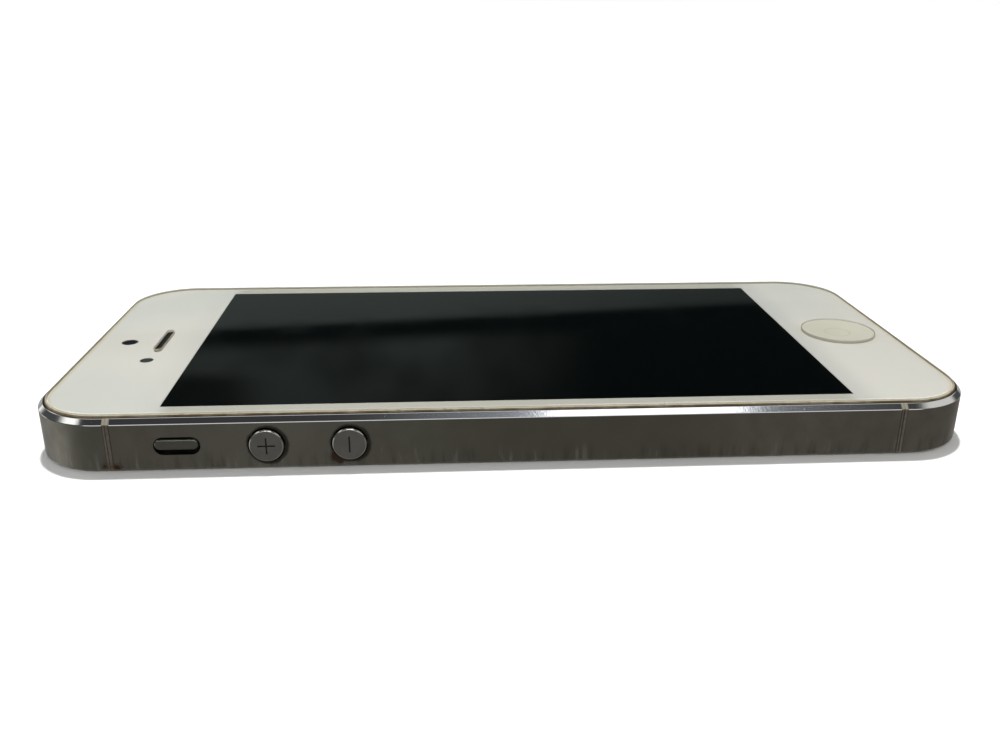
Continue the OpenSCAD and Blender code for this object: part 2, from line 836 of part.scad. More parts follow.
rear_housing();
top_band();
bottom_band();
top_insulator();
bottom_insulator();
rear_glass_top();
rear_glass_bottom();
display_bezel();
cover_glass();
ink_border();
lcd_panel();
backlight();
display_shield_plate();
home_button();
home_button_gasket();
home_button_bracket();
home_button_switch();
earpiece_mesh();
earpiece_speaker();
front_camera();
light_sensor();
volume_up_button();
volume_down_button();
volume_switches();
volume_bracket();
mute_switch();
mute_switch_body();
power_button();
power_button_switch();
sim_tray();
sim_card();
sim_reader();
sim_eject_rod();
sim_eject_lever();
camera_ring();
camera_cover_lens();
camera_body();
camera_lens_barrel();
flash_lens();
flash_module();
battery();
battery_flex();
logic_board();
shield_cans();
processor();
board_chips();
display_connector_cover();
display_flex();
vibration_motor();
vibration_weight();
wifi_antenna();
dock_connector();
dock_flex();
headphone_jack();
loudspeaker();
speaker_mesh();
microphones();
bottom_screws();
board_screws();
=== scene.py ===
"""A slim smartphone lying on its back on a white floor.

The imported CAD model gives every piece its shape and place. This script gives each piece its material, stands
a copy of the cover glass just clear of the ink under it, adds two lenses and the contacts in the dock port,
and sets up the floor, lights and camera.
Blender works in metres, so lengths here are written in millimetres and multiplied by MM.
"""

import math

import bmesh
import bpy
from mathutils import Matrix, Vector

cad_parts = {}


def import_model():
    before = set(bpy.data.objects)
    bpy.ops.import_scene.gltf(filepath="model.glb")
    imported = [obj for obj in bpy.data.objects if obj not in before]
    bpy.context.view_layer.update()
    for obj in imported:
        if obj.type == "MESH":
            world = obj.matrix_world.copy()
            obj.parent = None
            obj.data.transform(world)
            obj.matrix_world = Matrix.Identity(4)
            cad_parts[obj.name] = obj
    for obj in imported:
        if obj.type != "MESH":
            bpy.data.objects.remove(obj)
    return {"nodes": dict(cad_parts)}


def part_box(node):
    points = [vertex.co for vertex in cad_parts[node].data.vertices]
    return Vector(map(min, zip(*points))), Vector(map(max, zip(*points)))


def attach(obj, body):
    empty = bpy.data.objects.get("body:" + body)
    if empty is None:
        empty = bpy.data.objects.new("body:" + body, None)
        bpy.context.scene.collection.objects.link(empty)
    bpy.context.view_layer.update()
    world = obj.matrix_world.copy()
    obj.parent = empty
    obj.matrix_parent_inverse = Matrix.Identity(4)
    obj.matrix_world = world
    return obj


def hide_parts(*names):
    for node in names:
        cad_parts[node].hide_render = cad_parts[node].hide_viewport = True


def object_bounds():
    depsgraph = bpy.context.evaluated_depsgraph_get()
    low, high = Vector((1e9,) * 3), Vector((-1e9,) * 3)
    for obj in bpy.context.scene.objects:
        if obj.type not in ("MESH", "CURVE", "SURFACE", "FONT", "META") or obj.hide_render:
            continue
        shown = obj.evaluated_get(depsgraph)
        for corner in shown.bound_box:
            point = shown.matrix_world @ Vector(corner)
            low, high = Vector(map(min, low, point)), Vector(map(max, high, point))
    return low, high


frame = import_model()
cad_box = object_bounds()
NODES = frame["nodes"]

MM = 0.001

# Where the camera stands, how it is turned, and its lens
CAMERA_PLACE = (-9.61 * MM, -140.74 * MM, 55.50 * MM)
CAMERA_TURN = (1.2011, -0.0064, -0.0643)
CAMERA_LENS = 34.76

# The body, in millimetres: its half sizes, its corner radius in plan, the height of the side controls, the
# foot of the bevel, the top of the dark foot of the bezel (dirt and painted shade), the edges of the screen,
# and the holes of the volume buttons
HALF_LENGTH = 61.9
HALF_WIDTH = 29.3
BODY_CORNER = 9.85
SIDE_Z = 3.35
BEVEL_Z = 6.3
BEZEL_DARK_FOOT_Z = 7.29
SCREEN_END_X = 45.2
SCREEN_SIDE_Y = 25.35
BUTTON_HOLE_R = 2.36

# Marks of wear on the side with the buttons, as (x, z, radius) in millimetres
RUST = ((-50.2, 0.6, 0.9), (-51.6, 0.9, 0.6), (-23.0, 1.6, 1.0), (-22.4, 1.0, 0.9))


# ---------------------------------------------------------------- nodes


class Nodes:
    """Short ways to add shader nodes to a tree."""

    def __init__(self, tree):
        self.tree = tree

    def put(self, socket, value):
        if isinstance(value, bpy.types.NodeSocket):
            self.tree.links.new(value, socket)
        elif socket.type == "RGBA" and len(value) == 3:
            socket.default_value = (*value, 1)
        else:
            socket.default_value = value

    def node(self, kind, inputs=(), **settings):
        made = self.tree.nodes.new("ShaderNode" + kind)
        for key, value in settings.items():
            setattr(made, key, value)
        for key, value in dict(inputs).items():
            self.put(made.inputs[key], value)
        return made

    def split(self, vector):
        made = self.node("SeparateXYZ", {0: vector})
        return made.outputs[0], made.outputs[1], made.outputs[2]

    def band(self, value, low, high, to_low=0.0, to_high=1.0):
        """Carries a value between low and high smoothly over to to_low and to_high."""
        inputs = {"Value": value, 1: low, 2: high, 3: to_low, 4: to_high}
        return self.node("MapRange", inputs, interpolation_type="SMOOTHSTEP").outputs[0]

    def math(self, operation, a, b=0.0, clamp=True):
        return self.node("Math", {0: a, 1: b}, operation=operation, use_clamp=clamp).outputs[0]

    def mix(self, factor, a, b):
        made = self.node("Mix", data_type="RGBA")
        self.put(made.inputs[0], factor)
        self.put(made.inputs[6], a)
        self.put(made.inputs[7], b)
        return made.outputs[2]

    def noise_of(self, vector, scale, detail):
        inputs = {"Vector": vector, "Scale": scale, "Detail": detail, "Roughness": 0.55}
        return self.node("TexNoise", inputs).outputs["Fac"]

    def window(self, value, low, high, soft):
        """1 between low and high and 0 outside, with soft edges."""
        rise = self.band(value, low - soft, low + soft)
        fall = self.band(value, high - soft, high + soft, 1, 0)
        return self.math("MULTIPLY", rise, fall)


class Shader(Nodes):
    """A material with one Principled shader, whose textures are placed in millimetres on the object."""

    def __init__(self, name):
        self.material = bpy.data.materials.new(name)
        self.material.use_nodes = True
        super().__init__(self.material.node_tree)
        self.surface = self.tree.nodes["Principled BSDF"]
        source = self.node("TexCoord").outputs["Object"]
        scaled = self.node("VectorMath", {0: source}, operation="SCALE")
        scaled.inputs["Scale"].default_value = 1 / MM
        self.place = scaled.outputs[0]
        self.x, self.y, self.z = self.split(self.place)

    def set(self, **values):
        for key, value in values.items():
            self.put(self.surface.inputs[key.replace("_", " ")], value)

    def noise(self, scale, detail=3, stretch=None):
        vector = self.place
        if stretch:
            vector = self.node("VectorMath", {0: vector, 1: stretch}, operation="MULTIPLY").outputs[0]
        return self.noise_of(vector, scale, detail)

    def bump(self, height, distance, strength=1.0):
        """A bump whose full height is a distance in millimetres."""
        inputs = {"Height": height, "Distance": distance * MM, "Strength": strength}
        return self.node("Bump", inputs).outputs[0]

    def far_from(self, flat, x, y, z):
        """The distance in millimetres from a point, seen along the axis that flat zeroes."""
        seen = self.node("VectorMath", {0: self.place, 1: flat}, operation="MULTIPLY").outputs[0]
        inputs = {0: seen, 1: (x * flat[0], y * flat[1], z * flat[2])}
        return self.node("VectorMath", inputs, operation="DISTANCE").outputs["Value"]

    def past_corners(self):
        """How far a place is, in plan, beyond the box through the centres of the body's corners."""
        inner = (HALF_LENGTH - BODY_CORNER, HALF_WIDTH - BODY_CORNER, 100)
        folded = self.node("VectorMath", {0: self.place}, operation="ABSOLUTE").outputs[0]
        past = self.node("VectorMath", {0: folded, 1: inner}, operation="SUBTRACT").outputs[0]
        past = self.node("VectorMath", {0: past, 1: (0, 0, 0)}, operation="MAXIMUM").outputs[0]
        return self.node("VectorMath", {0: past}, operation="LENGTH").outputs["Value"]

    def through(self, share):
        """Mixes the surface with a clear one. share is how much of the surface is seen."""
        clear = self.node("BsdfTransparent").outputs[0]
        both = self.node("MixShader", {0: share, 1: clear, 2: self.surface.outputs[0]}).outputs[0]
        self.tree.links.new(both, self.tree.nodes["Material Output"].inputs["Surface"])


# ---------------------------------------------------------------- materials of the body


def rust_marks(s):
    """Where dirt and rust have settled by the near antenna break and under a button."""
    near_side = s.band(s.y, -29, -28, 1, 0)
    wobble = s.noise(1.4, 4)
    total = 0.0
    for x, z, radius in RUST:
        reach = s.math("ADD", s.far_from((1, 0, 1), x, 0, z), wobble, clamp=False)
        spot = s.band(reach, radius * 0.55 + 0.3, radius + 0.55, 1, 0)
        total = s.math("MAXIMUM", spot, total)
    return s.math("MULTIPLY", total, near_side)


def hole_grime_and_shade(s):
    """A dark ring in the wall around each volume button, partly grime and partly painted shade of the gap,
    wider towards +x.
    """
    uneven = s.noise(0.9, 3)
    total = 0.0
    for node in ("volume_up_button", "volume_down_button"):
        x = middle(node).x / MM
        reach = s.far_from((1, 0, 1), x, 0, SIDE_Z)
        edge = s.math("ADD", reach, s.math("MULTIPLY", uneven, 0.4), clamp=False)
        wider = s.band(s.x, x - BUTTON_HOLE_R, x + BUTTON_HOLE_R, 0, 0.25)
        edge = s.math("SUBTRACT", edge, wider, clamp=False)
        ring = s.band(edge, BUTTON_HOLE_R + 0.15, BUTTON_HOLE_R + 0.5, 1, 0)
        total = s.math("MAXIMUM", ring, total)
    return s.math("MULTIPLY", total, s.band(s.y, -29, -28, 0.9, 0))


def side_metal():
    """Fine-blasted anodised aluminium with finger marks, streaks along its foot, and grime and painted shade
    by the buttons.
    Its tone is painted darker than the back's as shade, with a painted darker stretch in the middle and a
    painted reflection as a lighter stretch towards the -x end.
    """
    s = Shader("anodised_side")
    blast = s.noise(11, 4)
    foot = s.math("MULTIPLY", s.band(s.z, 0.6, 3.4, 1, 0), s.band(s.z, 0.0, 0.2))
    streak = s.noise(1.0, 4, stretch=(1, 1, 0.14))
    dark = s.math("MULTIPLY", s.band(streak, 0.5, 0.68), foot)
    pale = s.math("MULTIPLY", s.band(streak, 0.42, 0.3), foot)
    # Painted shade: this tone is darker than the back's, standing in for the dark surroundings that the side
    # mirrors.
    tone = s.mix(s.band(s.noise(0.045, 3), 0.4, 0.6), (0.245, 0.24, 0.203), (0.285, 0.255, 0.22))
    tone = s.mix(s.band(s.noise(0.35, 4), 0.38, 0.65, 0, 0.45), tone, (0.205, 0.198, 0.165))
    # Painted shade and painted reflection: a darker stretch from x -9 to 27 and a lighter one from x -38 to
    # -24.
    tone = s.mix(s.window(s.x, -9, 27, 8), tone, (0.20, 0.193, 0.158))
    tone = s.mix(s.window(s.x, -38, -24, 6), tone, (0.285, 0.275, 0.235))
    tone = s.mix(s.math("MULTIPLY", dark, 0.45), tone, (0.12, 0.11, 0.09))
    tone = s.mix(s.math("MULTIPLY", pale, 0.5), tone, (0.48, 0.47, 0.44))
    # Painted shade mixed with grime: the dark ring around each volume button hole.
    tone = s.mix(hole_grime_and_shade(s), tone, (0.05, 0.045, 0.035))
    rust = rust_marks(s)
    tone = s.mix(rust, tone, (0.035, 0.016, 0.008))
    s.set(
        Base_Color=tone,
        Metallic=s.band(rust, 0.2, 0.8, 1, 0.3),
        Roughness=s.band(s.noise(0.3, 4), 0.35, 0.65, 0.3, 0.42),
        Normal=s.bump(blast, 0.004, 0.7),
    )
    return s.material


def back_metal():
    """The flat back: the same blasted aluminium, cleaner and with a few long scuffs, in a lighter tone than
    the side, whose darker tone is painted shade.
    """
    s = Shader("anodised_back")
    scuff = s.band(s.noise(0.5, 6, stretch=(0.2, 1.6, 1)), 0.6, 0.72, 0, 0.5)
    tone = s.mix(s.band(s.noise(0.05, 3), 0.4, 0.6), (0.40, 0.395, 0.37), (0.44, 0.43, 0.40))
    s.set(
        Base_Color=s.mix(scuff, tone, (0.55, 0.55, 0.53)),
        Metallic=1.0,
        Roughness=s.band(s.noise(0.3, 4), 0.35, 0.65, 0.32, 0.42),
        Normal=s.bump(s.noise(11, 4), 0.004, 0.7),
    )
    return s.material


def bevel_metal():
    """The bright cut bevel, with nicks along it."""
    s = Shader("bright_bevel")
    nick = s.band(s.noise(1.3, 6, stretch=(1, 1, 2.5)), 0.66, 0.74)
    dent = s.math("ADD", s.math("MULTIPLY", nick, 0.7), s.noise(3, 3))
    s.set(
        Base_Color=s.mix(nick, (0.66, 0.67, 0.68), (0.80, 0.80, 0.79)),
        Metallic=1.0,
        Roughness=s.band(nick, 0, 1, 0.09, 0.3),
        Normal=s.bump(dent, 0.006, 0.5),
    )
    return s.material


def antenna_plastic():
    """Pale plastic in the antenna breaks, painted darker as shade where it runs down the side wall, with a
    dark line along both joints and a rusty foot.
    """
    s = Shader("antenna_plastic")
    from_middle = s.math("ABSOLUTE", s.x, clamp=False)
    centres = [(low.x + high.x) / 2 / MM for low, high in
               ((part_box("top_band")[1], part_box("rear_housing")[0]),
                (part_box("rear_housing")[1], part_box("bottom_band")[0]))]
    joint = 0.0
    for centre in centres:
        off = s.math("SUBTRACT", from_middle, abs(centre), clamp=False)
        joint = s.math("MAXIMUM", s.window(off, -0.5, -0.3, 0.05), joint)
        joint = s.math("MAXIMUM", s.window(off, 0.36, 0.5, 0.05), joint)
    # Painted shade: the part of the break on the side wall, below the bevel, gets a darker tone than the part
    # on the bevel.
    side = s.band(s.z, 6.38, 6.5, 1, 0)
    shaded_side_tone = s.mix(s.band(s.noise(1.2, 4), 0.4, 0.65), (0.155, 0.14, 0.11), (0.115, 0.10, 0.072))
    tone = s.mix(side, (0.31, 0.285, 0.225), shaded_side_tone)
    tone = s.mix(s.math("MULTIPLY", joint, s.band(side, 0, 1, 0.3, 0.85)), tone, (0.03, 0.022, 0.015))
    s.set(Base_Color=s.mix(rust_marks(s), tone, (0.06, 0.025, 0.01)), Roughness=0.5)
    return s.material


def cream_bezel():
    """The yellowed plastic frame around the glass, dark at its foot, partly with dirt and partly as painted
    shade from the gap beside it.
    """
    s = Shader("yellowed_bezel")
    patch = s.noise(0.5, 4)
    # Painted shade with dirt: the bezel is dark below this height, fully along the side at negative y and
    # weaker towards positive y.
    foot_grime_and_shade = s.band(s.z, BEZEL_DARK_FOOT_Z - 0.03, BEZEL_DARK_FOOT_Z + 0.07, 1, 0)
    foot_grime_and_shade = s.math("MULTIPLY", foot_grime_and_shade, s.band(s.noise(0.25, 3), 0.38, 0.6, 0.82, 1))
    foot_grime_and_shade = s.math("MULTIPLY", foot_grime_and_shade, s.band(s.y, -5, 5, 1, 0.3))
    grime = s.math("MULTIPLY", s.band(s.noise(0.8, 5), 0.56, 0.68), 0.5)
    tone = s.mix(s.band(patch, 0.4, 0.6), (0.60, 0.56, 0.40), (0.52, 0.45, 0.31))
    tone = s.mix(grime, tone, (0.22, 0.15, 0.08))
    s.set(Base_Color=s.mix(foot_grime_and_shade, tone, (0.07, 0.045, 0.02)), Roughness=0.45)
    return s.material


# ---------------------------------------------------------------- materials of the front


def clear_glass():
    """Glass that mirrors on its outer face only, so that nothing is mirrored twice."""
    s = Shader("clear_cover_glass")
    s.tree.nodes.remove(s.surface)
    smudge = s.band(s.noise(0.12, 3), 0.4, 0.7, 0.02, 0.05)
    s.surface = s.node("BsdfGlossy", {"Color": (1, 1, 1), "Roughness": smudge})
    outer = s.band(s.node("NewGeometry").outputs["Backfacing"], 0, 1, 1, 0)
    s.through(s.math("MULTIPLY", s.node("Fresnel", {"IOR": 1.5}).outputs[0], outer))
    return s.material


def glass_edge():
    """The ground edge of the glass, which looks tan."""
    s = Shader("ground_glass_edge")
    tone = s.mix(s.band(s.noise(0.6, 4), 0.4, 0.6), (0.55, 0.50, 0.37), (0.62, 0.58, 0.46))
    centre = middle("home_button")
    by_button = s.band(s.far_from((1, 1, 0), centre.x / MM, centre.y / MM, 0), 5.7, 6.2, 1, 0)
    tone = s.mix(s.math("MAXIMUM", by_button, s.band(s.y, 5, 20)), tone, (0.74, 0.72, 0.64))
    s.set(Base_Color=tone, Roughness=0.3)
    s.through(0.75)
    return s.material


def dark_screen():
    """The display while it is off: nearly black, with no shine of its own under the glass."""
    s = Shader("screen_black")
    cloud = s.band(s.noise(0.08, 2), 0.4, 0.6)
    s.set(Base_Color=s.mix(cloud, (0.0003, 0.0005, 0.0005), (0.0005, 0.0007, 0.0007)), Roughness=0.5)
    s.set(Specular_IOR_Level=0.05)
    return s.material


def white_ink():
    """White ink behind the glass, with painted shade by the ends and along the long sides of the screen, and
    tan around the home button.
    """
    s = Shader("white_ink")
    tone = s.mix(s.band(s.noise(0.05, 3), 0.4, 0.6), (0.575, 0.585, 0.54), (0.615, 0.605, 0.555))
    # Painted shade: the ink darkens towards each end of the screen, more at the +x end.
    from_screen = s.math("SUBTRACT", s.math("ABSOLUTE", s.x, clamp=False), SCREEN_END_X, clamp=False)
    shade = s.math("MULTIPLY", s.band(from_screen, 0, 4.5, 1, 0), s.band(s.x, -1, 1, 0.22, 0.5))
    tone = s.mix(shade, tone, (0.42, 0.43, 0.41))
    # Painted shade: a darker strip along each long side of the screen.
    from_side = s.math("SUBTRACT", s.math("ABSOLUTE", s.y, clamp=False), SCREEN_SIDE_Y, clamp=False)
    near_side = s.math("MULTIPLY", s.band(from_side, -0.2, 0.2), s.band(from_screen, -1.5, 0.5, 0.75, 0))
    tone = s.mix(near_side, tone, (0.39, 0.38, 0.325))
    rim = s.band(s.past_corners(), 8.15, 8.4, 0, 0.6)
    tone = s.mix(rim, tone, (0.55, 0.49, 0.35))
    centre = middle("home_button")
    ring = s.window(s.far_from((1, 1, 0), centre.x / MM, centre.y / MM, 0), 5.2, 6.3, 0.4)
    tone = s.mix(s.math("MULTIPLY", ring, 0.4), tone, (0.56, 0.52, 0.40))
    s.set(Base_Color=tone, Roughness=0.4)
    return s.material


def home_cap():
    """The dished cap of the home button, with a thin plain ring as its mark."""
    s = Shader("home_cap")
    centre = middle("home_button")
    reach = s.far_from((1, 1, 0), centre.x / MM, centre.y / MM, 0)
    tone = s.mix(s.band(s.noise(0.15, 2), 0.4, 0.6), (0.45, 0.44, 0.365), (0.465, 0.455, 0.38))
    tone = s.mix(s.math("MULTIPLY", s.window(reach, 1.7, 2.05, 0.08), 0.5), tone, (0.36, 0.34, 0.27))
    tone = s.mix(s.band(reach, 5.0, 5.35, 0, 0.15), tone, (0.40, 0.38, 0.30))
    s.set(Base_Color=tone, Roughness=s.band(s.noise(0.3, 2), 0.4, 0.6, 0.33, 0.37))
    return s.material


def button_metal():
    """Turned aluminium with very fine rings around the middle of each volume button."""
    s = Shader("turned_button")
    tone = s.mix(s.band(s.noise(0.7, 4), 0.4, 0.6), (0.29, 0.29, 0.27), (0.32, 0.315, 0.295))
    reach = 100.0
    for node in ("volume_up_button", "volume_down_button"):
        centre = middle(node)
        reach = s.math("MINIMUM", s.far_from((1, 0, 1), centre.x / MM, 0, SIDE_Z), reach, clamp=False)
    turned = s.math("SINE", s.math("MULTIPLY", reach, 90, clamp=False), clamp=False)
    s.set(Base_Color=tone, Metallic=1.0, Roughness=0.3, Normal=s.bump(turned, 0.0006, 0.6))
    return s.material


def button_rim():
    """The polished round edge of the volume buttons."""
    s = Shader("button_rim")
    tone = s.mix(s.band(s.noise(0.9, 3), 0.4, 0.6), (0.50, 0.50, 0.48), (0.62, 0.62, 0.60))
    s.set(Base_Color=tone, Metallic=1.0, Roughness=0.16)
    return s.material


def slider_metal():
    """The mute switch, with an orange field on its plate that shows when it is pushed down."""
    s = Shader("mute_slider")
    tone = s.mix(s.band(s.noise(1.5, 4), 0.4, 0.6), (0.19, 0.195, 0.16), (0.21, 0.215, 0.18))
    sunk = s.band(s.y, -28.9, -28.6)
    shown = s.math("MULTIPLY", sunk, s.band(s.z, SIDE_Z + 1.28, SIDE_Z + 1.32))
    tone = s.mix(sunk, tone, (0.02, 0.02, 0.02))
    s.set(Base_Color=s.mix(shown, tone, (0.75, 0.13, 0.02)), Roughness=0.3)
    s.set(Metallic=s.band(sunk, 0, 1, 1, 0))
    return s.material


def plain(name, colour, roughness=0.5, metallic=0.0, grain=0.0, tone=0.88, scale=0.8):
    """A material of one colour that varies a little, with uneven roughness and an optional grain."""
    s = Shader(name)
    darker = tuple(part * tone for part in colour)
    s.set(Base_Color=s.mix(s.band(s.noise(scale, 4), 0.35, 0.65), darker, colour), Metallic=metallic)
    s.set(Roughness=s.band(s.noise(scale * 3, 3), 0.3, 0.7, roughness * 0.85, roughness * 1.15))
    if grain:
        s.set(Normal=s.bump(s.noise(8, 3), grain, 0.6))
    return s.material


def see_through(name, colour, share):
    """Clear glass or plastic with a tint, of which a share is seen as solid."""
    s = Shader(name)
    s.set(Base_Color=colour, Roughness=s.band(s.noise(1.5, 3), 0.4, 0.6, 0.03, 0.07))
    s.through(share)
    return s.material


# ---------------------------------------------------------------- mesh building


def middle(node):
    low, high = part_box(node)
    return (low + high) / 2


def add(mesh, name, material, body):
    """Makes an object of a bmesh, which rides on a body and belongs to a material slot."""
    data = bpy.data.meshes.new(name)
    bmesh.ops.recalc_face_normals(mesh, faces=mesh.faces)
    mesh.to_mesh(data)
    mesh.free()
    for polygon in data.polygons:
        polygon.use_smooth = abs(polygon.normal.z) < 0.999
    data.set_sharp_from_angle(angle=math.radians(40))
    piece = bpy.data.objects.new(name, data)
    bpy.context.scene.collection.objects.link(piece)
    data.materials.append(material)
    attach(piece, body)


def turned(profile):
    """A solid of revolution around Z from points (radius, height), both ends of which lie on the axis."""
    steps = 64
    mesh = bmesh.new()
    ends = [mesh.verts.new((0, 0, profile[0][1])), mesh.verts.new((0, 0, profile[-1][1]))]
    rings = []
    for r, z in profile[1:-1]:
        angles = [2 * math.pi * i / steps for i in range(steps)]
        rings.append([mesh.verts.new((r * math.cos(a), r * math.sin(a), z)) for a in angles])
    for i in range(steps):
        j = (i + 1) % steps
        mesh.faces.new((ends[0], rings[0][j], rings[0][i]))
        mesh.faces.new((ends[1], rings[-1][i], rings[-1][j]))
        for below, above in zip(rings, rings[1:]):
            mesh.faces.new((below[i], below[j], above[j], above[i]))
    return mesh


def dome(r, height, base):
    """The profile of a lens: a cap of a sphere, of a radius and height, on a short drum down to base."""
    steps = 8
    ball = (r * r + height * height) / (2 * height)
    reach = math.asin(r / ball)
    arc = []
    for step in range(steps + 1):
        a = reach * (1 - step / steps)
        arc.append((ball * math.sin(a), height - ball + ball * math.cos(a)))
    return [(0, base), (r, base), *arc]


# ---------------------------------------------------------------- pieces


def paint(node, *materials):
    """Gives a CAD node its materials: the first everywhere, each other one where its test of a face holds."""
    data = NODES[node].data
    tests = materials[1:]
    data.materials.clear()
    data.materials.append(materials[0])
    for material, _ in tests:
        data.materials.append(material)
    for face in data.polygons:
        face.material_index = 0
        for index, (_, test) in enumerate(tests, start=1):
            if test(face):
                face.material_index = index


def front_glass():
    """The CAD glass with its underside lifted a hair, so that it doesn't share a plane with the ink."""
    lift = 0.04 * MM

    def on_edge(face):
        return abs(face.normal.z) < 0.5

    node = NODES["cover_glass"]
    paint("cover_glass", clear_glass(), (glass_edge(), on_edge))
    data = node.data.copy()
    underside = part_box("cover_glass")[0].z + 0.01 * MM
    for vertex in data.vertices:
        if (node.matrix_world @ vertex.co).z < underside:
            vertex.co.z += lift
    piece = bpy.data.objects.new("front_glass", data)
    piece.matrix_world = node.matrix_world.copy()
    bpy.context.scene.collection.objects.link(piece)
    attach(piece, "root")
    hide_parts("cover_glass")
    paint("ink_border", white_ink())
    paint("lcd_panel", dark_screen())


def body_shells():
    """The aluminium shells with their bevel and back, the plastic breaks between them, and the bezel."""
    side, back, bevel = side_metal(), back_metal(), bevel_metal()

    def on_bevel(face):
        return face.center.z > BEVEL_Z * MM and 0.2 < face.normal.z

    def on_back(face):
        return face.normal.z < -0.9 and face.center.z < 0.1 * MM

    for node in ("rear_housing", "top_band", "bottom_band"):
        paint(node, side, (bevel, on_bevel), (back, on_back))
    insulator = antenna_plastic()
    for node in ("top_insulator", "bottom_insulator"):
        paint(node, insulator)
    paint("display_bezel", cream_bezel())


def side_controls():
    """The volume buttons with their marks and rims, the mute switch, the power button and the card tray."""
    metal, rim = button_metal(), button_rim()
    mark = plain("engraved_mark", (0.012, 0.011, 0.01), 0.6)
    for node in ("volume_up_button", "volume_down_button"):
        face_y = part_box(node)[0].y
        centre = middle(node)

        def in_mark(face, face_y=face_y, centre=centre):
            reach = math.hypot(face.center.x - centre.x, face.center.z - SIDE_Z * MM)
            return 0.02 * MM < face.center.y - face_y < 0.2 * MM and reach < 1.5 * MM

        def on_rim(face, face_y=face_y):
            return face.center.y < face_y + 0.25 * MM and -0.97 < face.normal.y < -0.1
        paint(node, metal, (rim, on_rim), (mark, in_mark))
    paint("mute_switch", slider_metal())
    plate = plain("blasted_small_parts", (0.34, 0.335, 0.31), 0.34, 1.0, 0.004)
    paint("power_button", plate)
    paint("sim_tray", plate)


def lens(name, node, r, height, recess, facing, body):
    """A lens in the recess of a CAD node, bulging along Z in the direction facing."""
    low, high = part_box(node)
    mouth = high.z if facing > 0 else low.z
    mesh = turned([(a * MM, b * MM) for a, b in dome(r, height, -0.1)])
    turn = Matrix.Rotation(0 if facing > 0 else math.pi, 4, "X")
    at = Vector((middle(node).x, middle(node).y, mouth - facing * recess * MM))
    bmesh.ops.transform(mesh, matrix=Matrix.Translation(at) @ turn, verts=mesh.verts)
    add(mesh, name, plain(name + "_coating", (0.012, 0.01, 0.03), 0.05), body)


def bar(mesh, low, high, bevel):
    """A box between two corners, with its edges bevelled."""
    made = bmesh.ops.create_cube(mesh, size=1)["verts"]
    size = Matrix.Diagonal((*(high - low), 1))
    bmesh.ops.transform(mesh, matrix=Matrix.Translation((low + high) / 2) @ size, verts=made)
    edges = list({edge for vert in made for edge in vert.link_edges})
    bmesh.ops.bevel(mesh, geom=edges, offset=bevel, segments=2, affect="EDGES")


def dock_contacts():
    """A row of eight sprung gold leaves along the roof and floor of the dock port."""
    count, pitch, width, length, thick = 8, 0.78 * MM, 0.4 * MM, 4 * MM, 0.12 * MM
    half_height, inset, edge = 0.85 * MM, 1 * MM, 0.03 * MM
    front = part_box("dock_connector")[1].x - inset
    mesh = bmesh.new()
    for side in (-1, 1):
        root = SIDE_Z * MM + side * half_height
        for number in range(count):
            y = (number - (count - 1) / 2) * pitch
            z = sorted((root, root - side * thick))
            low = Vector((front - length, y - width / 2, z[0]))
            high = Vector((front, y + width / 2, z[1]))
            bar(mesh, low, high, edge)
    add(mesh, "dock_contacts", plain("leaf_gold", (0.85, 0.62, 0.28), 0.2, 1.0), "root")


def others():
    """The home button and every piece inside the phone or seen through a hole in it."""
    steel = plain("stamped_steel", (0.55, 0.55, 0.54), 0.3, 1.0, 0.004)
    gold = plain("gold_contacts", (0.72, 0.55, 0.28), 0.25, 1.0)
    black = plain("black_plastic", (0.02, 0.02, 0.021), 0.45, grain=0.006)
    groups = {
        steel: ["display_shield_plate", "home_button_bracket", "volume_bracket", "sim_reader", "shield_cans",
                "display_connector_cover", "vibration_motor", "sim_eject_rod", "sim_eject_lever",
                "bottom_screws", "board_screws"],
        gold: ["home_button_switch", "volume_switches", "power_button_switch", "microphones"],
        plain("sensor_black", (0.03, 0.034, 0.03), 0.6): ["front_camera", "light_sensor"],
        black: ["earpiece_speaker", "mute_switch_body", "camera_body",
                "camera_lens_barrel", "headphone_jack", "dock_connector", "loudspeaker", "processor",
                "board_chips"],
        plain("woven_mesh", (0.035, 0.032, 0.028), 0.4, 0.5): ["earpiece_mesh", "speaker_mesh"],
        plain("flex_film", (0.35, 0.16, 0.04), 0.3): [
            "battery_flex", "display_flex", "wifi_antenna", "dock_flex"],
        plain("rear_glass", (0.74, 0.75, 0.72), 0.05, tone=0.96, scale=0.1): [
            "rear_glass_top", "rear_glass_bottom"],
        plain("light_guide", (0.75, 0.77, 0.80), 0.3): ["backlight"],
        plain("seal_rubber", (0.02, 0.02, 0.02), 0.7): ["home_button_gasket"],
        plain("solder_mask", (0.01, 0.06, 0.05), 0.3): ["logic_board"],
        plain("battery_wrap", (0.015, 0.015, 0.017), 0.5): ["battery"],
        plain("tungsten", (0.30, 0.30, 0.29), 0.4, 1.0): ["vibration_weight"],
        plain("ring_metal", (0.50, 0.50, 0.49), 0.16, 1.0): ["camera_ring"],
        see_through("lens_cover", (0.01, 0.012, 0.02), 0.35): ["camera_cover_lens"],
        plain("flash_diffuser", (0.80, 0.74, 0.50), 0.15): ["flash_lens"],
        plain("led", (0.75, 0.65, 0.15), 0.4): ["flash_module"],
        plain("card", (0.50, 0.50, 0.48), 0.4): ["sim_card"],
    }
    for material, nodes in groups.items():
        for node in nodes:
            paint(node, material)
    paint("home_button", home_cap())


# ---------------------------------------------------------------- stage


